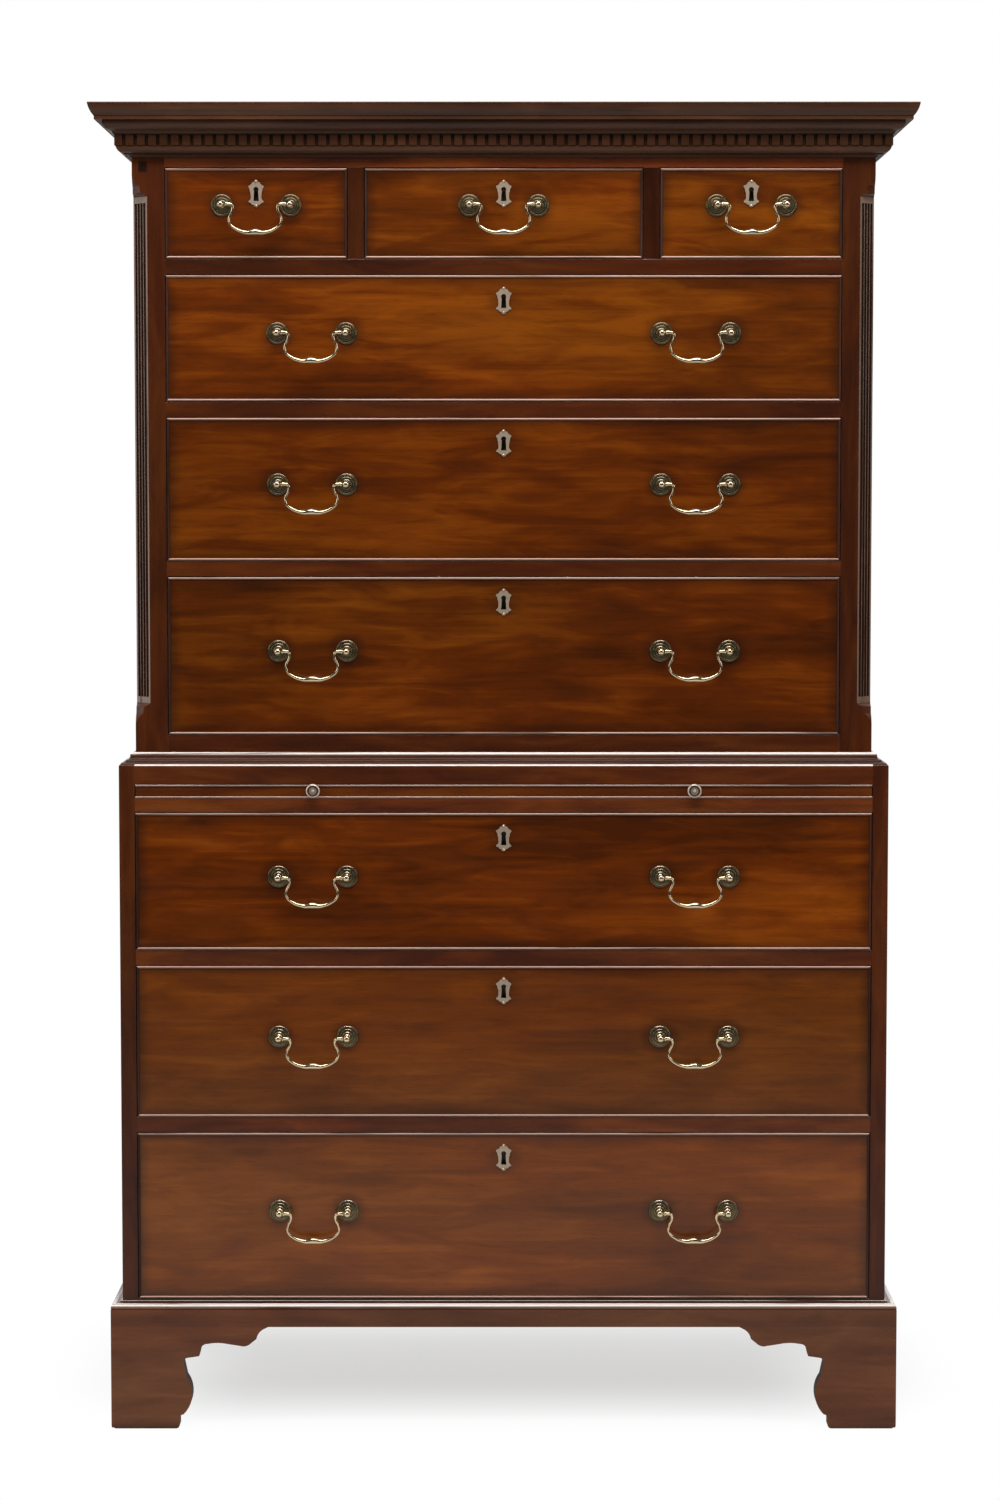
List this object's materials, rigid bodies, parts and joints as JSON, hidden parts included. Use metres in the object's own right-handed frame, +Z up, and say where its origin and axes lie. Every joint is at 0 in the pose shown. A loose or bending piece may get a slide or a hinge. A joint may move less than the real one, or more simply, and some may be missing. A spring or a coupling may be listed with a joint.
{
  "type": "chest on chest",
  "caption": "Tall two-part wooden chest on chest: dentil cornice, fluted canted corners, cockbeaded drawers with swan-neck bails, a pull-out brushing slide and bracket feet.",
  "frame": {"origin": "on the floor, in the middle of the width and of the depth", "axes": "+Z up, the drawer fronts face -Y, +X runs to the right along the front as a person facing the drawers sees it"},
  "size_m": [1.098, 0.556, 1.78],
  "materials": {
    "mahogany_front": "french-polished, old",
    "mahogany_case": "french-polished, dark",
    "mahogany_cornice": "french-polished, very dark",
    "oak": "bare, dry",
    "pine": "bare, darkened",
    "brass": "aged, worn bright on the high spots"
  },
  "bodies": {
    "lower_case": {"lower_sides": "mahogany_case", "lower_boards": "pine", "lower_back_boards": "pine", "lower_front_rails": "mahogany_case", "lower_runners": "oak", "waist_moulding": "mahogany_case", "base_moulding": "mahogany_case", "bracket_feet": "mahogany_case"},
    "upper_case": {"upper_sides": "mahogany_case", "canted_corners": "mahogany_case", "upper_boards": "pine", "upper_back_boards": "pine", "upper_front_rails": "mahogany_case", "upper_runners": "oak", "cornice_moulding": "mahogany_cornice", "dentil_course": "mahogany_cornice"},
    "brushing_slide": {"slide_board": "mahogany_case", "slide_knobs": "brass"},
    "top_left_drawer": {"top_left_drawer_front": "mahogany_front", "top_left_drawer_box": "oak", "top_left_drawer_fittings": "brass"},
    "top_left_bail": {"top_left_bail": "brass"},
    "top_middle_drawer": {"top_middle_drawer_front": "mahogany_front", "top_middle_drawer_box": "oak", "top_middle_drawer_fittings": "brass"},
    "top_middle_bail": {"top_middle_bail": "brass"},
    "top_right_drawer": {"top_right_drawer_front": "mahogany_front", "top_right_drawer_box": "oak", "top_right_drawer_fittings": "brass"},
    "top_right_bail": {"top_right_bail": "brass"},
    "upper_shallow_drawer": {"upper_shallow_drawer_front": "mahogany_front", "upper_shallow_drawer_box": "oak", "upper_shallow_drawer_fittings": "brass"},
    "upper_shallow_left_bail": {"upper_shallow_left_bail": "brass"},
    "upper_shallow_right_bail": {"upper_shallow_right_bail": "brass"},
    "upper_middle_drawer": {"upper_middle_drawer_front": "mahogany_front", "upper_middle_drawer_box": "oak", "upper_middle_drawer_fittings": "brass"},
    "upper_middle_left_bail": {"upper_middle_left_bail": "brass"},
    "upper_middle_right_bail": {"upper_middle_right_bail": "brass"},
    "upper_deep_drawer": {"upper_deep_drawer_front": "mahogany_front", "upper_deep_drawer_box": "oak", "upper_deep_drawer_fittings": "brass"},
    "upper_deep_left_bail": {"upper_deep_left_bail": "brass"},
    "upper_deep_right_bail": {"upper_deep_right_bail": "brass"},
    "lower_shallow_drawer": {"lower_shallow_drawer_front": "mahogany_front", "lower_shallow_drawer_box": "oak", "lower_shallow_drawer_fittings": "brass"},
    "lower_shallow_left_bail": {"lower_shallow_left_bail": "brass"},
    "lower_shallow_right_bail": {"lower_shallow_right_bail": "brass"},
    "lower_middle_drawer": {"lower_middle_drawer_front": "mahogany_front", "lower_middle_drawer_box": "oak", "lower_middle_drawer_fittings": "brass"},
    "lower_middle_left_bail": {"lower_middle_left_bail": "brass"},
    "lower_middle_right_bail": {"lower_middle_right_bail": "brass"},
    "lower_deep_drawer": {"lower_deep_drawer_front": "mahogany_front", "lower_deep_drawer_box": "oak", "lower_deep_drawer_fittings": "brass"},
    "lower_deep_left_bail": {"lower_deep_left_bail": "brass"},
    "lower_deep_right_bail": {"lower_deep_right_bail": "brass"}
  },
  "joints": [
    {"name": "upper_case_lift", "type": "slide", "parent": "lower_case", "child": "upper_case", "axis": [0, 0, 1], "range_m": [0, 0.1]},
    {"name": "brushing_slide_pull", "type": "slide", "parent": "lower_case", "child": "brushing_slide", "axis": [0, -1, 0], "range_m": [0, 0.3]},
    {"name": "top_left_drawer_pull", "type": "slide", "parent": "upper_case", "child": "top_left_drawer", "axis": [0, -1, 0], "range_m": [0, 0.36]},
    {"name": "top_left_bail_swing", "type": "hinge", "parent": "top_left_drawer", "child": "top_left_bail", "pos_m": [-0.33027, -0.247, 1.64865], "axis": [-1, 0, 0], "range_deg": [-28, 200]},
    {"name": "top_middle_drawer_pull", "type": "slide", "parent": "upper_case", "child": "top_middle_drawer", "axis": [0, -1, 0], "range_m": [0, 0.36]},
    {"name": "top_middle_bail_swing", "type": "hinge", "parent": "top_middle_drawer", "child": "top_middle_bail", "pos_m": [0, -0.247, 1.64865], "axis": [-1, 0, 0], "range_deg": [-28, 200]},
    {"name": "top_right_drawer_pull", "type": "slide", "parent": "upper_case", "child": "top_right_drawer", "axis": [0, -1, 0], "range_m": [0, 0.36]},
    {"name": "top_right_bail_swing", "type": "hinge", "parent": "top_right_drawer", "child": "top_right_bail", "pos_m": [0.33027, -0.247, 1.64865], "axis": [-1, 0, 0], "range_deg": [-28, 200]},
    {"name": "upper_shallow_drawer_pull", "type": "slide", "parent": "upper_case", "child": "upper_shallow_drawer", "axis": [0, -1, 0], "range_m": [0, 0.36]},
    {"name": "upper_shallow_left_bail_swing", "type": "hinge", "parent": "upper_shallow_drawer", "child": "upper_shallow_left_bail", "pos_m": [-0.257, -0.247, 1.47895], "axis": [-1, 0, 0], "range_deg": [-28, 200]},
    {"name": "upper_shallow_right_bail_swing", "type": "hinge", "parent": "upper_shallow_drawer", "child": "upper_shallow_right_bail", "pos_m": [0.257, -0.247, 1.47895], "axis": [-1, 0, 0], "range_deg": [-28, 200]},
    {"name": "upper_middle_drawer_pull", "type": "slide", "parent": "upper_case", "child": "upper_middle_drawer", "axis": [0, -1, 0], "range_m": [0, 0.36]},
    {"name": "upper_middle_left_bail_swing", "type": "hinge", "parent": "upper_middle_drawer", "child": "upper_middle_left_bail", "pos_m": [-0.257, -0.247, 1.2775], "axis": [-1, 0, 0], "range_deg": [-28, 200]},
    {"name": "upper_middle_right_bail_swing", "type": "hinge", "parent": "upper_middle_drawer", "child": "upper_middle_right_bail", "pos_m": [0.257, -0.247, 1.2775], "axis": [-1, 0, 0], "range_deg": [-28, 200]},
    {"name": "upper_deep_drawer_pull", "type": "slide", "parent": "upper_case", "child": "upper_deep_drawer", "axis": [0, -1, 0], "range_m": [0, 0.36]},
    {"name": "upper_deep_left_bail_swing", "type": "hinge", "parent": "upper_deep_drawer", "child": "upper_deep_left_bail", "pos_m": [-0.257, -0.247, 1.05395], "axis": [-1, 0, 0], "range_deg": [-28, 200]},
    {"name": "upper_deep_right_bail_swing", "type": "hinge", "parent": "upper_deep_drawer", "child": "upper_deep_right_bail", "pos_m": [0.257, -0.247, 1.05395], "axis": [-1, 0, 0], "range_deg": [-28, 200]},
    {"name": "lower_shallow_drawer_pull", "type": "slide", "parent": "lower_case", "child": "lower_shallow_drawer", "axis": [0, -1, 0], "range_m": [0, 0.36]},
    {"name": "lower_shallow_left_bail_swing", "type": "hinge", "parent": "lower_shallow_drawer", "child": "lower_shallow_left_bail", "pos_m": [-0.257, -0.269, 0.7512], "axis": [-1, 0, 0], "range_deg": [-28, 200]},
    {"name": "lower_shallow_right_bail_swing", "type": "hinge", "parent": "lower_shallow_drawer", "child": "lower_shallow_right_bail", "pos_m": [0.257, -0.269, 0.7512], "axis": [-1, 0, 0], "range_deg": [-28, 200]},
    {"name": "lower_middle_drawer_pull", "type": "slide", "parent": "lower_case", "child": "lower_middle_drawer", "axis": [0, -1, 0], "range_m": [0, 0.36]},
    {"name": "lower_middle_left_bail_swing", "type": "hinge", "parent": "lower_middle_drawer", "child": "lower_middle_left_bail", "pos_m": [-0.257, -0.269, 0.534], "axis": [-1, 0, 0], "range_deg": [-28, 200]},
    {"name": "lower_middle_right_bail_swing", "type": "hinge", "parent": "lower_middle_drawer", "child": "lower_middle_right_bail", "pos_m": [0.257, -0.269, 0.534], "axis": [-1, 0, 0], "range_deg": [-28, 200]},
    {"name": "lower_deep_drawer_pull", "type": "slide", "parent": "lower_case", "child": "lower_deep_drawer", "axis": [0, -1, 0], "range_m": [0, 0.36]},
    {"name": "lower_deep_left_bail_swing", "type": "hinge", "parent": "lower_deep_drawer", "child": "lower_deep_left_bail", "pos_m": [-0.257, -0.269, 0.29595], "axis": [-1, 0, 0], "range_deg": [-28, 200]},
    {"name": "lower_deep_right_bail_swing", "type": "hinge", "parent": "lower_deep_drawer", "child": "lower_deep_right_bail", "pos_m": [0.257, -0.269, 0.29595], "axis": [-1, 0, 0], "range_deg": [-28, 200]}
  ]
}
